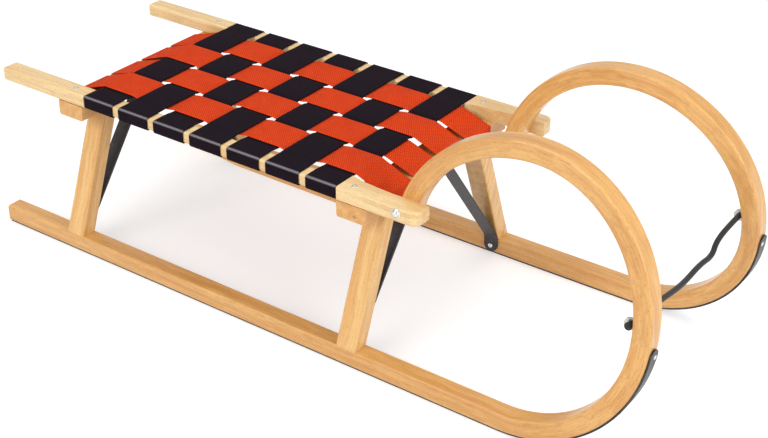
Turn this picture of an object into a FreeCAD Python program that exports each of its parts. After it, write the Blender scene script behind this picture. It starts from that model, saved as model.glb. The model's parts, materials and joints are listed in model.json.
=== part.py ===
"""Wooden horn sled with a woven strap seat.

Frame: +X forward (towards the horns), +Y to the sled's left, +Z up, millimetres.
The origin is under the middle of the sled, on the ground between the runners.
The right-hand parts are built first (negative Y) and mirrored to the left.
"""
import math
import os

import FreeCAD
import Part

V = FreeCAD.Vector

# ---- driving dimensions ----
RUNNER_OUT = 188.0        # outer face of a runner from the middle, along the straight
RUNNER_W = 25.6           # runner width
WOOD_T = 24.5             # runner thickness without the steel sole
SOLE_T = 2.7              # steel sole thickness
SOLE_W = 20.0
REAR_X = -519.7           # rear end of the runners
LOOP_X = 340.5            # centre of the horn's loop, above the end of the straight
LOOP_R_LOW = 152.1        # inside radius of the loop from the ground to the front
LOOP_R_TOP = 164.0        # inside radius over the top
HORN_TOP_OUT = 134.0      # outer face of the horn at its top
HORN_END_OUT = 137.18     # outer face of the horn where it is bolted to the rail
HORN_END_DEG = 166.5
SOLE_END_DEG = -1.5

RAIL_OUT, RAIL_IN = 164.0, 137.2
RAIL_Z0, RAIL_Z1 = 225.7, 245.0
RAIL_REAR, RAIL_FRONT = -517.0, 205.0
SEAT_REAR, SEAT_FRONT = -354.2, 84.2      # the rails are thinner between these, under the straps
RECESS = 1.8
CORNER = 3.0              # rounding of the wooden edges

BAR_Z0 = 203.5
BAR_REAR = (-404.8, -360.0)
BAR_FRONT = (84.2, 129.9)

LEG_W = 31.5
SPLAY = 0.38              # sideways lean of the legs and their braces' feet
BRACE_BACK = {"right": 10.0, "left": 1.0}   # front edge of each side's braces, behind the cross bar's front

STRAP_T = 1.5
CROSS_W, CROSS_PITCH, CROSS_X0, CROSS_N = 54.4, 64.8, -353.6, 7
LAST_W = 48.0             # the front cross strap is squeezed narrower by the front blocks
LONG_W, LONG_PITCH, LONG_N = 56.0, 63.2, 4
OVER_Z, UNDER_Z = 244.9, 242.7            # strap centres at a crossing
CLEAR = 0.3

ROPE_D = 7.2
EYE = V(485.0, 150.0, 195.0)              # centre of the left rope eye

LOOP_Z = SOLE_T + WOOD_T + LOOP_R_LOW
RUNNER_TOP = SOLE_T + WOOD_T


def smooth(u):
    u = max(0.0, min(1.0, u))
    return u * u * (3.0 - 2.0 * u)


def mirror(shape):
    return shape.mirror(V(0, 0, 0), V(0, 1, 0))


def save(shape, node):
    assert shape.isValid(), node
    shape.exportStep("parts/%s.step" % node)
    print(node, "solids", len(shape.Solids), "volume", round(shape.Volume / 1000.0, 2), "cm3")


def save_pair(shape, node):
    save(shape, node + "_right")
    save(mirror(shape), node + "_left")


def polygon(points):
    return Part.Face(Part.makePolygon(points + [points[0]]))


# ---- the bent runner ----
def loop_point(deg):
    """Middle of the right runner's wood at an angle round the loop (-90 is the end of the straight)."""
    a = math.radians(deg)
    r = LOOP_R_LOW + (LOOP_R_TOP - LOOP_R_LOW) * smooth(deg / 90.0) + WOOD_T / 2
    if deg <= 90:
        u = max(0.0, (deg + 90.0) / 180.0) ** 1.12
        out = RUNNER_OUT + (HORN_TOP_OUT - RUNNER_OUT) * smooth(u)
    else:
        out = HORN_TOP_OUT + (HORN_END_OUT - HORN_TOP_OUT) * smooth((deg - 90.0) / 48.0)
    return V(LOOP_X + r * math.cos(a), -(out - RUNNER_W / 2), LOOP_Z + r * math.sin(a))


def loop_frame(deg):
    """Middle point, width direction and inward direction of the runner at an angle."""
    t = loop_point(min(deg + 0.5, HORN_END_DEG)) - loop_point(max(deg - 0.5, -90))
    t.normalize()
    wide = V(0, 1, 0) - t * t.y
    wide.normalize()
    return loop_point(deg), wide, t.cross(wide)


def bar_section(at, wide, inward, half_w, n0, n1, r):
    """Closed section across the runner, between n0 and n1 along the inward direction."""
    def p(a, b):
        return at + wide * a + inward * b
    if r <= 0:
        q = [p(-half_w, n0), p(half_w, n0), p(half_w, n1), p(-half_w, n1)]
        return Part.makePolygon(q + [q[0]])
    k = r * (1 - math.sqrt(0.5))
    edges, w = [], half_w
    lines = [(p(-w + r, n0), p(w - r, n0)), (p(w, n0 + r), p(w, n1 - r)),
             (p(w - r, n1), p(-w + r, n1)), (p(-w, n1 - r), p(-w, n0 + r))]
    mids = [p(w - k, n0 + k), p(w - k, n1 - k), p(-w + k, n1 - k), p(-w + k, n0 + k)]
    for i in range(4):
        edges.append(Part.makeLine(*lines[i]))
        edges.append(Part.Arc(lines[i][1], mids[i], lines[(i + 1) % 4][0]).toShape())
    return Part.Wire(edges)


def bent_bar(half_w, n0, n1, r, end_deg, steps):
    """Solid along the runner: a straight prism and a loft round the loop."""
    y, z = -(RUNNER_OUT - RUNNER_W / 2), SOLE_T + WOOD_T / 2

    def straight(x, shrink=0.0):
        return bar_section(V(x, y, z), V(0, 1, 0), V(0, 0, 1), half_w - shrink, n0 + shrink, n1 - shrink, r - shrink)
    joint_x = LOOP_X - 45
    if r > 0:
        tip = Part.makeLoft([straight(REAR_X, 1.8), straight(REAR_X + 1.8)], True, True)
        body = Part.Face(straight(REAR_X + 1.8)).extrude(V(joint_x - REAR_X - 1.8, 0, 0)).fuse(tip)
    else:
        body = Part.Face(straight(REAR_X + 1.8)).extrude(V(joint_x - REAR_X - 1.8, 0, 0))
    wires = [straight(LOOP_X - d) for d in (45, 30, 15)]
    for i in range(steps + 1):
        wires.append(bar_section(*loop_frame(-90 + (end_deg + 90.0) * i / steps), half_w, n0, n1, r))
    return body.fuse(Part.makeLoft(wires, True, False)).removeSplitter()


def runner():
    return bent_bar(RUNNER_W / 2, -WOOD_T / 2, WOOD_T / 2, CORNER, HORN_END_DEG, 28)


def sole():
    strip = bent_bar(SOLE_W / 2, -WOOD_T / 2 - SOLE_T, -WOOD_T / 2, 0, SOLE_END_DEG, 14)
    # the upper end is rounded: trim everything outside a half disc
    at, wide, inward = loop_frame(SOLE_END_DEG)
    along = wide.cross(inward)
    r = SOLE_W / 2
    c = at - along * r - inward * (WOOD_T / 2 + SOLE_T + 3)
    corner = [c + wide * (r + 2), c + wide * (r + 2) + along * (r + 2),
              c - wide * (r + 2) + along * (r + 2), c - wide * (r + 2)]
    block = polygon(corner).extrude(inward * 9)
    disc = Part.makeCylinder(r, 9, c, inward)
    return strip.cut(block.cut(disc))


# ---- seat frame ----
def long_edges(shape, direction):
    """Edges that run along one axis."""
    out = []
    for e in shape.Edges:
        d = e.Vertexes[-1].Point - e.Vertexes[0].Point
        if d.Length > 1 and abs(d.dot(direction)) > 0.999 * d.Length:
            out.append(e)
    return out


def rim_edges(shape, z_values):
    """Edges that lie flat at one of the heights."""
    return [e for e in shape.Edges if any(abs(e.BoundBox.ZMin - z) < 1e-6 and abs(e.BoundBox.ZMax - z) < 1e-6
                                          for z in z_values)]


def rail_core():
    core = Part.makeBox(SEAT_FRONT - SEAT_REAR + 12, RAIL_OUT - RECESS - RAIL_IN, RAIL_Z1 - RAIL_Z0 - 2 * RECESS,
                        V(SEAT_REAR - 6, -(RAIL_OUT - RECESS), RAIL_Z0 + RECESS))
    return core.makeFillet(CORNER - 0.6, long_edges(core, V(1, 0, 0)))


def rail_handle():
    length = SEAT_REAR - RAIL_REAR
    block = Part.makeBox(length, RAIL_OUT - RAIL_IN, RAIL_Z1 - RAIL_Z0, V(RAIL_REAR, -RAIL_OUT, RAIL_Z0))
    edges = [e for e in block.Edges if not (abs(e.BoundBox.XMin - SEAT_REAR) < 1e-6)]
    return block.makeFillet(CORNER, edges)


def rail_front():
    """Front block: flared a little on the inside behind the horn, with a rounded outer front corner."""
    r = 13.0
    y0, y1, x1 = -RAIL_OUT, -RAIL_IN, RAIL_FRONT
    a, b = V(x1 - r, y0, RAIL_Z0), V(x1, y0 + r, RAIL_Z0)
    mid = V(x1 - r * (1 - math.sqrt(0.5)), y0 + r * (1 - math.sqrt(0.5)), RAIL_Z0)
    inner = [V(x1, y1, RAIL_Z0), V(150, y1, RAIL_Z0), V(125, y1 + 1.6, RAIL_Z0), V(100, y1 + 4.4, RAIL_Z0),
             V(SEAT_FRONT, y1 + 8.7, RAIL_Z0)]
    start = V(SEAT_FRONT, y0, RAIL_Z0)
    edges = [Part.makeLine(start, a), Part.Arc(a, mid, b).toShape(), Part.makeLine(b, inner[0])]
    chain = inner + [start]
    edges += [Part.makeLine(p, q) for p, q in zip(chain[:-1], chain[1:])]
    block = Part.Face(Part.Wire(edges)).extrude(V(0, 0, RAIL_Z1 - RAIL_Z0))
    rounded = [e for e in rim_edges(block, (RAIL_Z0, RAIL_Z1))
               if e.BoundBox.YMax < -(RAIL_IN + 0.1) and e.BoundBox.XMax > SEAT_FRONT + 1]
    return block.makeFillet(2.4, rounded)


def rail():
    return rail_core().fuse([rail_handle(), rail_front()]).removeSplitter()


def batten():
    """Tapered strip under a rail, from the front cross bar back to the middle of the seat."""
    z1 = RAIL_Z0 + RECESS
    side = [V(BAR_FRONT[0], -124, z1), V(-190, -124, z1), V(-190, -124, z1 - 4), V(-95, -124, 210.5),
            V(BAR_FRONT[0], -124, 209)]
    return polygon(side).extrude(V(0, -22, 0))


def cross_bar(x0, x1):
    bar = Part.makeBox(x1 - x0, 2 * RAIL_OUT, RAIL_Z0 - BAR_Z0, V(x0, -RAIL_OUT, BAR_Z0))
    lower = [e for e in long_edges(bar, V(0, 1, 0)) if abs(e.BoundBox.ZMin - BAR_Z0) < 1e-6]
    return bar.makeFillet(CORNER, lower)


def leg(x1):
    """Right leg with its front face at x1, leaning in from the runner to the cross bar."""
    lean = SPLAY * (BAR_Z0 - RUNNER_TOP)
    y0, y1 = -RUNNER_OUT, -(RUNNER_OUT - RUNNER_W)
    side = [V(x1 - LEG_W, y0, RUNNER_TOP), V(x1 - LEG_W, y1, RUNNER_TOP),
            V(x1 - LEG_W, y1 + lean, BAR_Z0), V(x1 - LEG_W, y0 + lean, BAR_Z0)]
    post = polygon(side).extrude(V(LEG_W, 0, 0))
    up = V(0, lean, BAR_Z0 - RUNNER_TOP)
    up.normalize()
    return post.makeFillet(2.5, long_edges(post, up))


def rounded_path(points, radii):
    """Straight runs joined by tangent arcs; returns the edges in order."""
    edges, start = [], points[0]
    for i in range(1, len(points) - 1):
        a = (points[i - 1] - points[i]).normalize()
        b = (points[i + 1] - points[i]).normalize()
        half = a.getAngle(b) / 2.0
        d = radii[i - 1] / math.tan(half)
        p, q = points[i] + a * d, points[i] + b * d
        inward = (a + b).normalize()
        mid = points[i] + inward * (radii[i - 1] / math.sin(half) - radii[i - 1])
        if (p - start).Length > 1e-6:
            edges.append(Part.LineSegment(start, p).toShape())
        edges.append(Part.Arc(p, mid, q).toShape())
        start = q
    edges.append(Part.LineSegment(start, points[-1]).toShape())
    return edges


def brace(x1):
    """Flat steel brace: rounded foot on the runner, bend, slope, and a flat under the cross bar."""
    w, t = 21.5, 3.3
    y = -(RUNNER_OUT - RUNNER_W) + t / 2
    z_top = BAR_Z0 - t / 2
    pts = [V(x1 - w, y, 5), V(x1 - w, y, 30), V(x1 - w, -31, z_top), V(x1 - w, -8, z_top)]
    half = Part.Wire(rounded_path(pts, [26, 12]))
    strip = half.extrude(V(w, 0, 0))
    solid = strip.makeOffsetShape(t / 2, 1e-4, fill=True).fuse(strip.makeOffsetShape(-t / 2, 1e-4, fill=True))
    solid = solid.removeSplitter()
    # rounded foot
    r = w / 2
    c = V(x1 - r, y - 4, 5 + r)
    corner = Part.makeBox(w + 2, 10, r + 1, V(x1 - w - 1, y - 5, 4))
    disc = Part.makeCylinder(r, 12, c - V(0, 2, 0), V(0, 1, 0))
    return solid.cut(corner.cut(disc))


# ---- straps ----
def ribbon(points, across):
    """Flat strap along a chain of points, square to 'across', with an even thickness."""
    left, right = [], []
    for i, p in enumerate(points):
        a = (p - points[i - 1]).normalize() if i else None
        b = (points[i + 1] - p).normalize() if i < len(points) - 1 else None
        t = (a + b) if a and b else (a or b)
        t.normalize()
        side = across.cross(t).normalize()
        k = STRAP_T / 2
        if a and b:
            k /= max(0.3, math.cos(a.getAngle(b) / 2))
        left.append(p + side * k)
        right.append(p - side * k)
    return left + right[::-1]


def cross_strap(i):
    """Strap over both rails, over and under the lengthwise straps in turn."""
    w = CROSS_W if i < CROSS_N else LAST_W
    x = CROSS_X0 + (i - 1) * CROSS_PITCH
    off = CLEAR + STRAP_T / 2
    side_y, top_z = RAIL_OUT - RECESS + off, RAIL_Z1 - RECESS + off
    low_z = RAIL_Z0 + RECESS - off
    seat = []
    for j in range(1, LONG_N + 1):
        mid = (j - (LONG_N + 1) / 2.0) * LONG_PITCH
        z = UNDER_Z if (i + j) % 2 == 0 else OVER_Z
        seat += [V(x, mid - LONG_W / 2 - 0.4, z), V(x, mid + LONG_W / 2 + 0.4, z)]
    start = [V(x, -149.5, low_z), V(x, -side_y, low_z), V(x, -side_y, top_z), V(x, -RAIL_IN + 2, top_z)]
    end = [V(x, -p.y, p.z) for p in reversed(start)]
    return polygon(ribbon(start + seat + end, V(1, 0, 0))).extrude(V(w, 0, 0))


def long_strap(j):
    """Strap from the rear cross bar to the front one, woven through the others."""
    y = (j - (LONG_N + 1) / 2.0) * LONG_PITCH - LONG_W / 2
    off = CLEAR + STRAP_T / 2
    edge_z = RAIL_Z0 + off
    seat = []
    for i in range(1, CROSS_N + 1):
        w = CROSS_W if i < CROSS_N else LAST_W
        x = CROSS_X0 + (i - 1) * CROSS_PITCH
        z = OVER_Z if (i + j) % 2 == 0 else UNDER_Z
        seat += [V(x - 0.4, y, z), V(x + w + 0.4, y, z)]
    start = [V(BAR_REAR[0] - off, y, BAR_Z0 + 2), V(BAR_REAR[0] - off, y, edge_z), V(BAR_REAR[0] + 3, y, edge_z + 0.6)]
    end = [V(BAR_FRONT[1] - 3, y, edge_z + 0.6), V(BAR_FRONT[1] + off, y, edge_z), V(BAR_FRONT[1] + off, y, BAR_Z0 + 2)]
    return polygon(ribbon(start + seat + end, V(0, 1, 0))).extrude(V(0, LONG_W, 0))


# ---- rope ----
EYE_T, EYE_R, EYE_HOLE = 4.0, 7.6, 4.4
KNOT_R = 8.0


def rope_eye():
    """Right-hand eye: a flat ring on a stem that stands out of the horn's hollow side."""
    c = V(EYE.x, -EYE.y - EYE_T / 2, EYE.z)
    ring = Part.makeCylinder(EYE_R, EYE_T, c, V(0, 1, 0))
    stem = Part.makeCylinder(1.9, 40, V(EYE.x + EYE_R - 1.5, -EYE.y, EYE.z), V(1, 0, 0))
    hole = Part.makeCylinder(EYE_HOLE, EYE_T + 2, c - V(0, 1, 0), V(0, 1, 0))
    return ring.fuse(stem).cut(runner()).Solids[0].cut(hole).removeSplitter()


def rope_points():
    y = EYE.y + EYE_T / 2
    return [V(EYE.x, y, EYE.z), V(485.5, 116, 196), V(484, 83, 188), V(486, 70, 174), V(484, 38, 177),
            V(484.5, -8, 174), V(485, -52, 181), V(484.5, -100, 190), V(EYE.x, -y, EYE.z)]


def rope():
    pts = rope_points()
    radii = []
    for a, b, c in zip(pts[:-2], pts[1:-1], pts[2:]):
        turn = (b - a).getAngle(c - b)
        radii.append(0.45 * min((b - a).Length, (c - b).Length) / math.tan(turn / 2))
    print("rope arc radii", [round(r, 1) for r in radii], "smallest in diameters", round(min(radii) / ROPE_D, 2))
    path = Part.Wire(rounded_path(pts, radii))
    ring = Part.Wire(Part.makeCircle(ROPE_D / 2, pts[0], pts[1] - pts[0]))
    tube = path.makePipeShell([ring], True, True)
    print("rope length", round(path.Length, 1), "volume / (section x length)",
          round(tube.Volume / (math.pi * ROPE_D ** 2 / 4 * path.Length), 4))
    return tube


def rope_knot(sign):
    """Stopper knot outside an eye: a flattened ball that rests on the eye's outer face."""
    y = EYE.y + EYE_T / 2
    ball = Part.makeSphere(KNOT_R, V(EYE.x - 1, y + KNOT_R * 0.62, EYE.z))
    slab = Part.makeBox(60, 30, 60, V(EYE.x - 30, y, EYE.z - 30))
    knot = ball.common(slab)
    return mirror(knot) if sign < 0 else knot


os.makedirs("parts", exist_ok=True)
save_pair(runner(), "runner")
save_pair(sole(), "sole")
save_pair(rail(), "rail")
save_pair(batten(), "batten")
save(cross_bar(*BAR_FRONT), "crossbar_front")
save(cross_bar(*BAR_REAR), "crossbar_rear")
save_pair(leg(BAR_FRONT[1]), "leg_front")
save_pair(leg(BAR_REAR[1]), "leg_rear")
for place, bar in (("front", BAR_FRONT), ("rear", BAR_REAR)):
    save(brace(bar[1] - BRACE_BACK["right"]), "brace_%s_right" % place)
    save(mirror(brace(bar[1] - BRACE_BACK["left"])), "brace_%s_left" % place)
save(Part.makeCompound([cross_strap(i) for i in range(1, CROSS_N + 1)]), "cross_straps")
save(Part.makeCompound([long_strap(j) for j in range(1, LONG_N + 1)]), "long_straps")
save_pair(rope_eye(), "rope_eye")
save(rope(), "pull_rope")
save(Part.makeCompound([rope_knot(1), rope_knot(-1)]), "rope_knots")
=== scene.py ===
"""Wooden horn sled: materials, straps, rope, screws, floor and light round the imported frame.

Blender works in metres. Straps, rope and fittings are laid out in millimetres, and MM turns them into metres.
"""
import json
import math

import bmesh
import bpy
from mathutils import Matrix, Vector


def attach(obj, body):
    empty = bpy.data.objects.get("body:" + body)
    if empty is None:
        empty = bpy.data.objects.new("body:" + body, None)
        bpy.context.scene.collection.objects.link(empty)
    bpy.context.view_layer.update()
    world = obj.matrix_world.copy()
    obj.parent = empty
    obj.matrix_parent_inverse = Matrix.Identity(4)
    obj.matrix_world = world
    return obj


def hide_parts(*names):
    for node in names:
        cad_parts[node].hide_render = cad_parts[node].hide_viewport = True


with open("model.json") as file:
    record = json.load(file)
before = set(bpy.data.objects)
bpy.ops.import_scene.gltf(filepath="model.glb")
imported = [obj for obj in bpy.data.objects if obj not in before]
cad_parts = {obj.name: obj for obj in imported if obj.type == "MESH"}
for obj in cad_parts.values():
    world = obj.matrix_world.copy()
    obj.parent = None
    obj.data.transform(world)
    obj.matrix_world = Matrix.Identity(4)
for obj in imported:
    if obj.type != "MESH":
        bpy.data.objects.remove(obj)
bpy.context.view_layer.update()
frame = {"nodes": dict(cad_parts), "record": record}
MM = 0.001
SIDES = ((-1, "right"), (1, "left"))

# ---- driving dimensions of the seat, mm ----
RAIL_OUT, RAIL_IN = 164.0, 137.2            # a rail's outer and inner faces from the middle
RAIL_Z0, RAIL_Z1, RECESS = 225.7, 245.0, 1.8    # a rail's height, and how much thinner it is under the straps
BAR_REAR_X, BAR_FRONT_X, BAR_Z0 = -404.8, 129.9, 203.5      # the cross bars' outer faces and underside
CROSS_W, CROSS_PITCH, CROSS_X0, CROSS_N, LAST_W = 54.4, 64.8, -353.6, 7, 48.0
LONG_W, LONG_PITCH, LONG_N = 56.0, 63.2, 4
OVER_Z, UNDER_Z = 244.9, 242.7              # a strap's middle where it passes over or under another
STRAP_T = 1.45
STRAP_OFF = 1.05                            # from the wood to a strap's middle
SEAT_Z = 240.0                              # a strap above this height is in the weave
BULGE = 0.7                                 # rise of a strap's middle where it passes over another
BEND_STEPS, SECTION_STEPS, LONGEST_STEP = 5, 12, 5.0

# ---- rope, mm ----
ROPE_D = 7.2
ROPE_Z = 195.0
ROUTE = [(485, 152, ROPE_Z), (485.5, 116, 196), (484, 83, 188), (486, 70, 174), (484, 38, 177),
         (484.5, -8, 174), (485, -52, 181), (484.5, -100, 190), (485, -152, ROPE_Z)]
KNOT_X, KNOT_Y, KNOT_WIDE, KNOT_CORD = 485.5, 154.4, 2.4, 4.6
KNOT_STEPS, KNOT_STEPS_PER_TURN, KNOT_REACH, KNOT_SWELL = 20, 8, 3.6, 0.5

# ---- fittings: places in mm, heads as (radius, height) pairs outwards from the surface ----
DOME = [(6.9, -0.3), (6.9, 0.7), (6.5, 0.9), (5.2, 0.9), (5.1, 1.6), (4.4, 2.9), (3.0, 3.7), (1.3, 4.1)]
FLAT = [(3.9, -0.4), (3.9, 0.15), (3.6, 0.35), (2.0, 0.45), (1.5, 0.4)]
PAN = [(3.8, -0.3), (3.8, 0.5), (3.1, 1.4), (1.6, 1.9)]
SMALL = [(3.0, -2.0), (3.0, 0.3), (2.2, 0.7), (1.0, 0.8)]
# PIT is the flat dark disc that carries the painted shade of a small hole
PIT = [(2.1, -0.3), (2.1, 0.12), (1.6, 0.12)]
HEAD_SIDES = 32
BRACE_X = (("front", 118.15), ("rear", -371.75))    # middle of the left-hand braces
BRACE_BACK = 9.0                            # the right-hand braces sit this much further back
LOOP_CX, LOOP_CZ = 340.5, 179.3              # centre of the horn's loop
SOLE_R = 152.1 + 24.5 + 2.7                 # outside of the steel strip round the loop
SOLE_SCREW_DEG = -5.0


# ---------------------------------------------------------------- camera
def make_camera():
    eye, target, roll = Vector((1.0304, -1.3970, 1.1036)), Vector((0.0985, -0.0813, 0.165)), 0.00698
    cam = bpy.data.objects.new("camera", bpy.data.cameras.new("camera"))
    bpy.context.scene.collection.objects.link(cam)
    bpy.context.scene.camera = cam
    cam.data.sensor_width = 36
    cam.data.lens = 67.64
    cam.data.clip_start, cam.data.clip_end = 0.05, 60
    ahead = (target - eye).normalized()
    side = ahead.cross(Vector((0, 0, 1))).normalized()
    up = side.cross(ahead)
    right = side * math.cos(roll) + up * math.sin(roll)
    up = up * math.cos(roll) - side * math.sin(roll)
    cam.matrix_world = Matrix((
        (right.x, up.x, -ahead.x, eye.x), (right.y, up.y, -ahead.y, eye.y),
        (right.z, up.z, -ahead.z, eye.z), (0, 0, 0, 1)))


# ---------------------------------------------------------------- node helpers
class Shader:
    """A material's node tree, with short calls for the nodes used here."""

    def __init__(self, name):
        self.mat = bpy.data.materials.new(name)
        self.mat.use_nodes = True
        self.tree = self.mat.node_tree
        self.bsdf = self.tree.nodes["Principled BSDF"]

    def node(self, kind, **props):
        n = self.tree.nodes.new(kind)
        for k, v in props.items():
            setattr(n, k, v)
        return n

    def put(self, socket, value):
        """Links a node's output to the socket, or sets the socket's own number."""
        if isinstance(value, bpy.types.NodeSocket):
            self.tree.links.new(value, socket)
        else:
            socket.default_value = value

    def math(self, op, a, b=0.0, c=0.0):
        n = self.node("ShaderNodeMath", operation=op)
        for s, v in zip(n.inputs, (a, b, c)):
            self.put(s, v)
        return n.outputs[0]

    def step(self, value, low, high):
        n = self.node("ShaderNodeMapRange", interpolation_type="SMOOTHSTEP")
        self.put(n.inputs[0], value)
        n.inputs[1].default_value, n.inputs[2].default_value = low, high
        return n.outputs[0]

    def mix(self, fac, a, b):
        n = self.node("ShaderNodeMix", data_type="RGBA")
        self.put(n.inputs[0], fac)
        self.put(n.inputs[6], a if isinstance(a, bpy.types.NodeSocket) else (*a, 1))
        self.put(n.inputs[7], b if isinstance(b, bpy.types.NodeSocket) else (*b, 1))
        return n.outputs[2]

    def vector(self, x, y, z):
        n = self.node("ShaderNodeCombineXYZ")
        for s, v in zip(n.inputs, (x, y, z)):
            self.put(s, v)
        return n.outputs[0]

    def noise(self, at, scale, detail=3.0, rough=0.5):
        n = self.node("ShaderNodeTexNoise")
        self.put(n.inputs["Vector"], at)
        n.inputs["Scale"].default_value = scale
        n.inputs["Detail"].default_value = detail
        n.inputs["Roughness"].default_value = rough
        return n.outputs["Fac"]

    def coords(self, which="Object"):
        c = self.node("ShaderNodeTexCoord")
        s = self.node("ShaderNodeSeparateXYZ")
        self.put(s.inputs[0], c.outputs[which])
        return s.outputs[0], s.outputs[1], s.outputs[2]

    def bump(self, height, strength, distance):
        n = self.node("ShaderNodeBump")
        n.inputs["Strength"].default_value = strength
        n.inputs["Distance"].default_value = distance
        self.put(n.inputs["Height"], height)
        self.put(self.bsdf.inputs["Normal"], n.outputs[0])

    def set(self, **values):
        for k, v in values.items():
            self.put(self.bsdf.inputs[k.replace("_", " ")], v)
        return self.mat


# ---------------------------------------------------------------- wood
LOOP_X, LOOP_Z, LOOP_R = LOOP_CX * MM, LOOP_CZ * MM, 0.168      # the horn's loop in metres, for the grain


def grain_axes(m, grain):
    """Distance along the fibres and two distances across them. grain is x, y, z or bent."""
    x, y, z = m.coords()
    if grain == "x":
        return x, y, z
    if grain == "y":
        return y, x, z
    if grain == "z":
        return z, x, m.math("ADD", y, m.math("MULTIPLY", z, -0.38))
    dx, dz = m.math("SUBTRACT", x, LOOP_X), m.math("SUBTRACT", z, LOOP_Z)
    bent = m.math("MAXIMUM", m.math("GREATER_THAN", dx, 0), m.math("GREATER_THAN", dz, 0))
    turn = m.math("ADD", m.math("ARCTAN2", dz, dx), math.pi / 2)
    run = m.math("ADD", m.math("MULTIPLY", turn, LOOP_R), LOOP_X)
    squares = m.math("ADD", m.math("MULTIPLY", dx, dx), m.math("MULTIPLY", dz, dz))
    far = m.math("SUBTRACT", LOOP_R, m.math("SQRT", squares))
    low = m.math("SUBTRACT", z, LOOP_Z - LOOP_R)

    def pick(straight, round_loop):
        return m.math("ADD", straight, m.math("MULTIPLY", bent, m.math("SUBTRACT", round_loop, straight)))
    return pick(x, run), y, pick(low, far)


def beech(name, light, dark, grain):
    """Clear-lacquered steamed beech: long streaks, fine fibres, short flecks and soft cloudy patches."""
    m = Shader(name)
    along, a, b = grain_axes(m, grain)

    def stretched(share, across, deep):
        return m.vector(m.math("MULTIPLY", along, share), across, deep)
    wavy = m.math("MULTIPLY", m.noise(stretched(4, a, b), 6.0, 2.0), 0.012)
    shifted = m.math("ADD", a, wavy)
    streaks = m.noise(stretched(0.05, shifted, m.math("MULTIPLY", b, 1.2)), 95.0, 3.0, 0.55)
    fibres = m.noise(stretched(0.045, shifted, b), 520.0, 3.0, 0.6)
    flecks = m.step(m.noise(stretched(0.30, a, b), 900.0, 1.0, 0.4), 0.60, 0.72)
    clouds = m.noise(m.vector(along, a, b), 9.0, 2.0)
    colour = m.mix(m.step(streaks, 0.34, 0.68), light, dark)
    colour = m.mix(m.math("MULTIPLY", m.step(fibres, 0.42, 0.70), 0.42), colour, [c * 0.66 for c in dark])
    colour = m.mix(m.math("MULTIPLY", flecks, 0.34), colour, [dark[0] * 0.55, dark[1] * 0.42, dark[2] * 0.32])
    colour = m.mix(m.math("MULTIPLY", m.step(clouds, 0.45, 0.7), 0.20), colour, [c * 0.78 for c in dark])
    m.bump(m.math("SUBTRACT", m.math("MULTIPLY", fibres, 0.5), m.math("MULTIPLY", flecks, 0.35)), 0.16, 0.0006)
    shine = m.math("ADD", m.math("MULTIPLY", streaks, 0.16), 0.36 - 0.08)
    return m.set(Base_Color=colour, Roughness=shine, Coat_Weight=0.35, Coat_Roughness=0.16, IOR=1.5)


GOLD, AMBER = (0.79, 0.44, 0.140), (0.67, 0.315, 0.080)
CREAM, STRAW = (0.87, 0.64, 0.32), (0.78, 0.50, 0.21)
TAN, RUSSET = (0.87, 0.55, 0.215), (0.75, 0.40, 0.125)
wood = {
    "beech_bent": beech("beech_bent", GOLD, AMBER, "bent"),
    "beech_rail": beech("beech_rail", CREAM, STRAW, "x"),
    "beech_batten": beech("beech_batten", GOLD, AMBER, "x"),
    "beech_leg": beech("beech_leg", TAN, RUSSET, "z"),
    "beech_bar": beech("beech_bar", GOLD, AMBER, "y"),
}


# ---------------------------------------------------------------- metal
def dark_steel(name, colour, wear_and_highlight, rough, metal):
    m = Shader(name)
    x, y, z = m.coords()
    scratch = m.noise(m.vector(m.math("MULTIPLY", x, 0.25), y, z), 900.0, 2.0, 0.6)
    patch = m.noise(m.vector(x, y, z), 60.0, 4.0, 0.6)
    c = m.mix(m.math("MULTIPLY", m.step(patch, 0.45, 0.75), 0.6), colour, wear_and_highlight)
    m.bump(scratch, 0.12, 0.0003)
    return m.set(Base_Color=c, Metallic=metal,
                 Roughness=m.math("ADD", m.math("MULTIPLY", patch, 0.25), rough))


def plated(name, colour, rough):
    m = Shader(name)
    n = m.noise(m.vector(*m.coords()), 700.0, 2.0)
    m.bump(n, 0.05, 0.0002)
    return m.set(Base_Color=m.mix(n, colour, [c * 0.8 for c in colour]), Metallic=1.0,
                 Roughness=m.math("ADD", m.math("MULTIPLY", n, 0.15), rough))


def painted_hole_shade():
    """Painted shade: a dark colour standing in for the shaded inside of a small hole in the wood."""
    m = Shader("painted_hole_shade")
    spots = m.noise(m.vector(*m.coords()), 800.0)
    return m.set(Base_Color=m.mix(spots, (0.02, 0.012, 0.006), (0.05, 0.03, 0.015)), Roughness=0.9)


steel = {
    "sole_steel": dark_steel("sole_steel", (0.035, 0.034, 0.036), (0.13, 0.125, 0.12), 0.28, 0.7),
    "brace_steel": dark_steel("brace_steel", (0.020, 0.018, 0.024), (0.060, 0.054, 0.066), 0.34, 0.0),
    "eye_steel": plated("eye_steel", (0.62, 0.61, 0.58), 0.25),
}
zinc = plated("bright_zinc", (0.78, 0.77, 0.74), 0.18)
hole_shade = painted_hole_shade()


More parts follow.
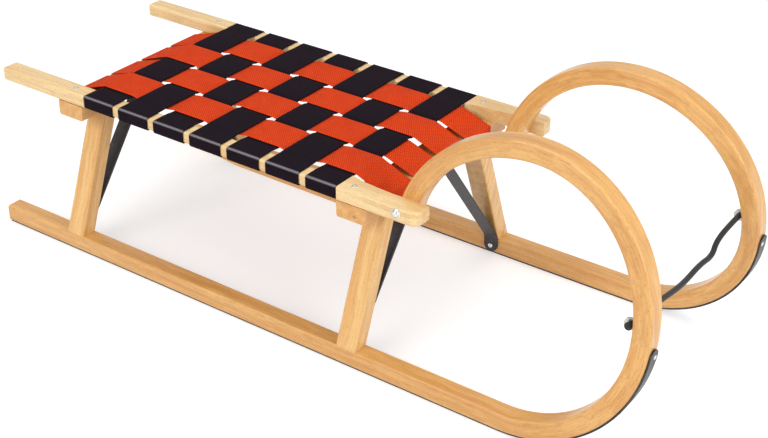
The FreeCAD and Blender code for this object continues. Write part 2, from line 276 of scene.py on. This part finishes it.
# ---------------------------------------------------------------- cloth and cord
def webbing(name, colour, deep, cord, pick, slant, strength, wear_and_highlight=None):
    """Flat webbing, drawn from the strap's UVs. cord and pick are the warp's and the weft's pitch in mm."""
    m = Shader(name)
    u, v, _ = m.coords("UV")

    def wave(at, pitch):
        return m.math("SINE", m.math("MULTIPLY", at, 2 * math.pi / (pitch * MM)))
    skew = m.math("ADD", v, m.math("MULTIPLY", m.math("PINGPONG", u, cord * MM), slant))
    warp = m.math("ABSOLUTE", wave(u, cord * 2))
    weft = m.math("MULTIPLY_ADD", wave(skew, pick), 0.5, 0.5)
    fuzz = m.noise(m.vector(u, m.math("MULTIPLY", v, 0.4), 0.0), 2200.0, 2.0, 0.7)
    tone = m.noise(m.vector(u, v, 0.3), 45.0, 3.0, 0.6)
    height = m.math("ADD", m.math("MULTIPLY", warp, weft), m.math("MULTIPLY", fuzz, 0.35))
    # painted shade: darker where the weave is low, in the hollows between the yarns, mixed with the fibre fuzz
    c = m.mix(m.step(height, 0.05, 0.85), deep, colour)
    c = m.mix(m.math("MULTIPLY", m.step(tone, 0.4, 0.75), 0.22), c, deep)
    # painted highlight: a pale line on the straps along the rails' top outer edges
    if wear_and_highlight:
        c = m.mix(m.math("MULTIPLY", painted_edge_highlight(m, fuzz), 0.55), c, wear_and_highlight)
    m.bump(height, strength, 0.0007)
    m.bsdf.inputs["Specular IOR Level"].default_value = 0.12
    return m.set(Base_Color=c, Roughness=0.85)


def painted_edge_highlight(m, fuzz):
    """Mask of the thin pale line along the rails' top outer edges: a painted highlight where the black straps
    turn over the edge, broken up by fibre fuzz.
    """
    _, y, z = m.coords()
    edge = m.math("ADD", m.math("ABSOLUTE", m.math("SUBTRACT", m.math("ABSOLUTE", y), 0.1630)),
                  m.math("ABSOLUTE", m.math("SUBTRACT", z, 0.2447)))
    return m.math("MULTIPLY", m.math("SUBTRACT", 1.0, m.step(edge, 0.0006, 0.0036)), m.step(fuzz, 0.25, 0.55))


def braid(name):
    m = Shader(name)
    u, v, _ = m.coords("UV")
    along, round_it = m.math("MULTIPLY", u, 330.0), m.math("MULTIPLY", v, 6 * math.pi)
    one = m.math("SINE", m.math("ADD", along, round_it))
    two = m.math("SINE", m.math("SUBTRACT", along, round_it))
    height = m.math("MULTIPLY_ADD", m.math("MULTIPLY", one, two), 0.5, 0.5)
    fuzz = m.noise(m.vector(*m.coords()), 1500.0, 2.0)
    m.bump(m.math("ADD", height, m.math("MULTIPLY", fuzz, 0.5)), 0.6, 0.0006)
    # painted shade: darker where the braid is low, in the grooves between strands, mixed with random fibre fuzz
    return m.set(Base_Color=m.mix(m.math("MULTIPLY", height, fuzz), (0.006, 0.006, 0.006), (0.040, 0.040, 0.042)),
                 Roughness=0.8, Sheen_Weight=0.15)


cloth = {
    # each webbing's second colour is its painted shade in the weave's hollows, and also tints random patches of
    # tone
    "black_webbing": webbing("black_webbing", (0.013, 0.005, 0.012), (0.004, 0.001, 0.004), 1.3, 1.8, 0.6, 0.55,
                             # this last colour is the black webbing's painted highlight along the rails' top
                             # outer edges
                             (0.42, 0.40, 0.43)),
    "red_webbing": webbing("red_webbing", (0.97, 0.090, 0.010), (0.42, 0.018, 0.004), 2.6, 3.2, 1.1, 1.0),
}
rope_black = braid("black_rope")


def finish_nodes():
    """Gives every shown CAD node the material of its slot."""
    finishes = {**wood, **steel}
    for part in frame["record"]["subparts"]:
        if part["material_slot"] in finishes:
            for s in frame["nodes"][part["node"]].material_slots:
                s.material = finishes[part["material_slot"]]


# ---------------------------------------------------------------- pieces
def place(name, bm, material):
    """A new piece from a bmesh, riding on the sled's one body."""
    bmesh.ops.recalc_face_normals(bm, faces=bm.faces)
    mesh = bpy.data.meshes.new(name)
    bm.to_mesh(mesh)
    bm.free()
    mesh.materials.append(material)
    o = bpy.data.objects.new(name, mesh)
    bpy.context.scene.collection.objects.link(o)
    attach(o, "root")
    return o


def eased(points, reach):
    """The chain of points with each corner turned into a small curve, and no step longer than LONGEST_STEP."""
    out = [points[0]]
    for a, p, b in zip(points[:-2], points[1:-1], points[2:]):
        d = min(reach, 0.45 * (p - a).length, 0.45 * (b - p).length)
        s, e = p + (a - p).normalized() * d, p + (b - p).normalized() * d
        for k in range(BEND_STEPS + 1):
            t = k / BEND_STEPS
            out.append(s * (1 - t) ** 2 + p * 2 * t * (1 - t) + e * t * t)
    out.append(points[-1])
    full = [out[0]]
    for a, b in zip(out[:-1], out[1:]):
        n = max(1, math.ceil((b - a).length / LONGEST_STEP))
        full += [a.lerp(b, k / n) for k in range(1, n + 1)]
    return full


def strap_section(half):
    """Points (across, height) round a strap: flat faces with rounded selvedges."""
    ring, thin = [], STRAP_T / 2
    for k in range(SECTION_STEPS + 1):
        t = -1 + 2 * k / SECTION_STEPS
        t = math.copysign(1 - (1 - abs(t)) ** 1.7, t)
        body = math.sqrt(max(0.0, 1 - max(0.0, abs(t) * half - (half - thin)) ** 2 / thin ** 2))
        ring.append((t * half, body * STRAP_T / 2))
    return ring + [(u, -h) for u, h in reversed(ring[1:-1])]


def strap(name, points, across, width, lift, slot):
    """Webbing strap along a chain of points, with lengths as UVs. Returns the piece and its length in metres."""
    line, half = eased(points, 3.4), width / 2
    loop = strap_section(half)
    bm = bmesh.new()
    uv = bm.loops.layers.uv.new("UVMap")
    rows, run = [], [0.0]
    for a, b in zip(line[:-1], line[1:]):
        run.append(run[-1] + (b - a).length)
    for i, p in enumerate(line):
        t = (line[min(i + 1, len(line) - 1)] - line[max(i - 1, 0)]).normalized()
        face = across.cross(t).normalized()
        if face.z < -0.5 and abs(t.z) < 0.5 and p.z > SEAT_Z:   # turns the lengthwise straps' sections over here
            face = -face
        rise = lift(p)
        row = []
        for u, h in loop:
            crown = rise * (1 - (u / half) ** 2)
            row.append(bm.verts.new((p + across * u + face * h + Vector((0, 0, crown))) * MM))
        rows.append(row)
    n = len(loop)
    for i in range(len(rows) - 1):
        for k in range(n):
            q = (k + 1) % n
            f = bm.faces.new((rows[i][k], rows[i + 1][k], rows[i + 1][q], rows[i][q]))
            f.smooth = True
            for c, (r, w) in zip(f.loops, ((i, k), (i + 1, k), (i + 1, q), (i, q))):
                c[uv].uv = ((loop[w][0] + half) * MM, run[r] * MM)
    for end in (rows[0], rows[-1]):
        for c in bm.faces.new(end).loops:
            c[uv].uv = (0, 0)
    return place(name, bm, cloth[slot]), run[-1] * MM


def cross_span(i):
    x = CROSS_X0 + (i - 1) * CROSS_PITCH
    return x, x + (CROSS_W if i < CROSS_N else LAST_W)


def long_span(j):
    y = (j - (LONG_N + 1) / 2) * LONG_PITCH
    return y - LONG_W / 2, y + LONG_W / 2


def weave(spans, tops, point):
    """Corner points over and under the straps that cross: point(at, z) makes one."""
    out = []
    for (lo, hi), top in zip(spans, tops):
        z = OVER_Z if top else UNDER_Z
        out += [point(lo - 0.4, z), point(hi + 0.4, z)]
    return out


def lifted(at, z, spans, tops):
    """How far a strap's middle rises at a place along it, where it passes over another."""
    for (lo, hi), top in zip(spans, tops):
        t = (at - (lo - 4)) / ((hi + 4) - (lo - 4))
        if top and z > SEAT_Z and 0 < t < 1:
            return BULGE * math.sin(math.pi * t) ** 0.6
    return 0.0


def cross_strap(i):
    """Black strap over both rails, over and under the red ones in turn."""
    lo, hi = cross_span(i)
    x = (lo + hi) / 2
    spans = [long_span(j) for j in range(1, LONG_N + 1)]
    tops = [(i + j) % 2 == 1 for j in range(1, LONG_N + 1)]
    side_y, top_z = RAIL_OUT - RECESS + STRAP_OFF, RAIL_Z1 - RECESS + STRAP_OFF
    low_z = RAIL_Z0 + RECESS - STRAP_OFF
    start = [Vector((x, -149.5, low_z)), Vector((x, -side_y, low_z)), Vector((x, -side_y, top_z)),
             Vector((x, -RAIL_IN + 2, top_z))]
    end = [Vector((x, -p.y, p.z)) for p in reversed(start)]
    seat = weave(spans, tops, lambda at, z: Vector((x, at, z)))
    o, length = strap("cross_strap_%d" % i, start + seat + end, Vector((1, 0, 0)), hi - lo,
                      lambda p: lifted(p.y, p.z, spans, tops), "black_webbing")
    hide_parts("cross_straps")


def long_strap(j):
    """Red strap from the rear cross bar to the front one, over and under the black ones in turn."""
    lo, hi = long_span(j)
    y, edge_z = (lo + hi) / 2, RAIL_Z0 + STRAP_OFF
    spans = [cross_span(i) for i in range(1, CROSS_N + 1)]
    tops = [(i + j) % 2 == 0 for i in range(1, CROSS_N + 1)]
    start = [Vector((BAR_REAR_X - STRAP_OFF, y, BAR_Z0 + 2)), Vector((BAR_REAR_X - STRAP_OFF, y, edge_z)),
             Vector((BAR_REAR_X + 3, y, edge_z + 0.6))]
    end = [Vector((BAR_FRONT_X - 3, y, edge_z + 0.6)), Vector((BAR_FRONT_X + STRAP_OFF, y, edge_z)),
           Vector((BAR_FRONT_X + STRAP_OFF, y, BAR_Z0 + 2))]
    seat = weave(spans, tops, lambda at, z: Vector((at, y, z)))
    o, length = strap("long_strap_%d" % j, start + seat + end, Vector((0, 1, 0)), LONG_W,
                      lambda p: lifted(p.x, p.z, spans, tops), "red_webbing")
    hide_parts("long_straps")


# ---------------------------------------------------------------- rope and knots
def rope_curve(name, points, thick):
    c = bpy.data.curves.new(name, "CURVE")
    c.dimensions = "3D"
    c.bevel_depth = thick / 2 * MM
    c.bevel_resolution = 5
    c.resolution_u = 10
    c.use_fill_caps = True
    s = c.splines.new("NURBS")
    s.points.add(len(points) - 1)
    for q, p in zip(s.points, points):
        q.co = (p[0] * MM, p[1] * MM, p[2] * MM, 1)
    s.order_u = 3
    s.use_endpoint_u = True
    s.use_smooth = True
    c.materials.append(rope_black)
    o = bpy.data.objects.new(name, c)
    bpy.context.scene.collection.objects.link(o)
    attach(o, "root")
    return o


def rope_knot(sign, side):
    """Tight turns of cord outside a rope eye."""
    turns = []
    for k in range(KNOT_STEPS + 1):
        a = 2 * math.pi * k / KNOT_STEPS_PER_TURN
        wide = KNOT_WIDE + KNOT_SWELL * math.sin(math.pi * k / KNOT_STEPS)
        turns.append((KNOT_X + wide * math.cos(a), sign * (KNOT_Y + KNOT_REACH * k / KNOT_STEPS),
                      ROPE_Z + wide * math.sin(a)))
    knot = rope_curve("rope_knot_" + side, turns, KNOT_CORD)
    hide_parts("rope_knots")
    return knot


def tow_rope():
    knots = [rope_knot(sign, side) for sign, side in SIDES]
    rope = rope_curve("tow_rope", ROUTE, ROPE_D)
    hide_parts("pull_rope")


# ---------------------------------------------------------------- screws and bolts
def fitting(name, at, normal, profile, material, dimple):
    """Turned head with a cone-shaped dimple in its middle."""
    bm = bmesh.new()
    n = Vector(normal).normalized()
    a = n.orthogonal().normalized()
    b = n.cross(a)
    turns = [2 * math.pi * k / HEAD_SIDES for k in range(HEAD_SIDES)]
    rows = [[bm.verts.new((Vector(at) + n * h + (a * math.cos(t) + b * math.sin(t)) * r) * MM) for t in turns]
            for r, h in profile]
    for lo, hi in zip(rows[:-1], rows[1:]):
        for k in range(HEAD_SIDES):
            q = (k + 1) % HEAD_SIDES
            bm.faces.new((lo[k], lo[q], hi[q], hi[k])).smooth = True
    bottom = bm.verts.new((Vector(at) + n * (profile[-1][1] - dimple)) * MM)
    for k in range(HEAD_SIDES):
        bm.faces.new((rows[-1][k], rows[-1][(k + 1) % HEAD_SIDES], bottom))
    bm.faces.new(rows[0][::-1])
    return place(name, bm, material)


def fittings(sign, side):
    """The bolts and screws of one side of the sled."""
    out, up, down, inward = (0, sign, 0), (0, 0, 1), (0, 0, -1), (0, -sign, 0)
    fitting("horn_bolt_" + side, (174.6, sign * RAIL_OUT, 237.6), out, DOME, zinc, 0.4)
    fitting("rail_screw_rear_" + side, (-381.0, sign * 150.0, RAIL_Z1), up, FLAT, zinc, 0.9)
    fitting("rail_screw_front_" + side, (102.0, sign * 149.0, RAIL_Z1), up, FLAT, zinc, 0.9)
    # a dark disc of painted shade where the cross bar's end has a small hole
    fitting("bar_hole_shade_" + side, (112.0, sign * RAIL_OUT, 211.0), out, PIT, hole_shade, 1.2)
    a = math.radians(SOLE_SCREW_DEG)
    front = (math.cos(a), 0, math.sin(a))
    at = (LOOP_CX + SOLE_R * math.cos(a), sign * 151.0, LOOP_CZ + SOLE_R * math.sin(a))
    fitting("sole_screw_" + side, at, front, SMALL, zinc, 0.5)
    back = BRACE_BACK if sign < 0 else 0.0
    for where, middle in BRACE_X:
        x = middle - back
        fitting("brace_screw_%s_%s" % (where, side), (x, sign * 159.1, 14.5), inward, PAN, zinc, 0.7)
        fitting("brace_top_screw_%s_%s" % (where, side), (x, sign * 16.0, 200.2), down, PAN, zinc, 0.7)


# ---------------------------------------------------------------- floor, world, lamps
def make_floor():
    """White floor that still takes the sled's shadow: part of its white is its own glow, seen by the camera."""
    bm = bmesh.new()
    bmesh.ops.create_grid(bm, x_segments=2, y_segments=2, size=14)
    mesh = bpy.data.meshes.new("floor")
    bm.to_mesh(mesh)
    bm.free()
    floor = bpy.data.objects.new("floor", mesh)
    bpy.context.scene.collection.objects.link(floor)
    m = Shader("floor")
    m.bsdf.inputs["Base Color"].default_value = (0.72, 0.72, 0.72, 1)
    m.bsdf.inputs["Roughness"].default_value = 1.0
    m.bsdf.inputs["Specular IOR Level"].default_value = 0.0
    path = m.node("ShaderNodeLightPath")
    seen = m.math("MAXIMUM", path.outputs["Is Camera Ray"], path.outputs["Is Glossy Ray"])
    glow = m.node("ShaderNodeEmission")
    glow.inputs["Color"].default_value = (1, 1, 1, 1)
    m.put(glow.inputs["Strength"], m.math("MULTIPLY", seen, 0.42))
    add = m.node("ShaderNodeAddShader")
    m.put(add.inputs[0], m.bsdf.outputs[0])
    m.put(add.inputs[1], glow.outputs[0])
    m.put(m.tree.nodes["Material Output"].inputs["Surface"], add.outputs[0])
    mesh.materials.append(m.mat)


def make_world():
    """Plain white surroundings: full white to the camera, and dimmer as light on the sled."""
    world = bpy.data.worlds.new("world")
    bpy.context.scene.world = world
    world.use_nodes = True
    tree = world.node_tree
    back = tree.nodes["Background"]
    back.inputs["Color"].default_value = (1, 1, 1, 1)
    path = tree.nodes.new("ShaderNodeLightPath")
    level = tree.nodes.new("ShaderNodeMath")
    level.operation = "MULTIPLY_ADD"
    tree.links.new(path.outputs["Is Camera Ray"], level.inputs[0])
    level.inputs[1].default_value, level.inputs[2].default_value = 0.34, 0.66
    tree.links.new(level.outputs[0], back.inputs["Strength"])


def make_lamp(name, at, size, power):
    lamp = bpy.data.lights.new(name, "AREA")
    lamp.shape, lamp.size, lamp.size_y, lamp.energy = "RECTANGLE", size[0], size[1], power
    o = bpy.data.objects.new(name, lamp)
    bpy.context.scene.collection.objects.link(o)
    o.location = at
    o.rotation_euler = (Vector((0, 0, 0.15)) - Vector(at)).to_track_quat("-Z", "Y").to_euler()


# ---------------------------------------------------------------- the scene
make_camera()
finish_nodes()
for i in range(1, CROSS_N + 1):
    cross_strap(i)
for j in range(1, LONG_N + 1):
    long_strap(j)
tow_rope()
for sign, side in SIDES:
    fittings(sign, side)
make_floor()
make_world()
make_lamp("overhead", (-0.2, 0.2, 2.6), (2.4, 1.8), 18)
make_lamp("key", (-0.6, -2.6, 1.6), (1.8, 1.4), 32)
make_lamp("front", (2.6, -0.6, 1.1), (1.4, 1.2), 30)
bpy.context.scene.view_settings.view_transform = "Standard"
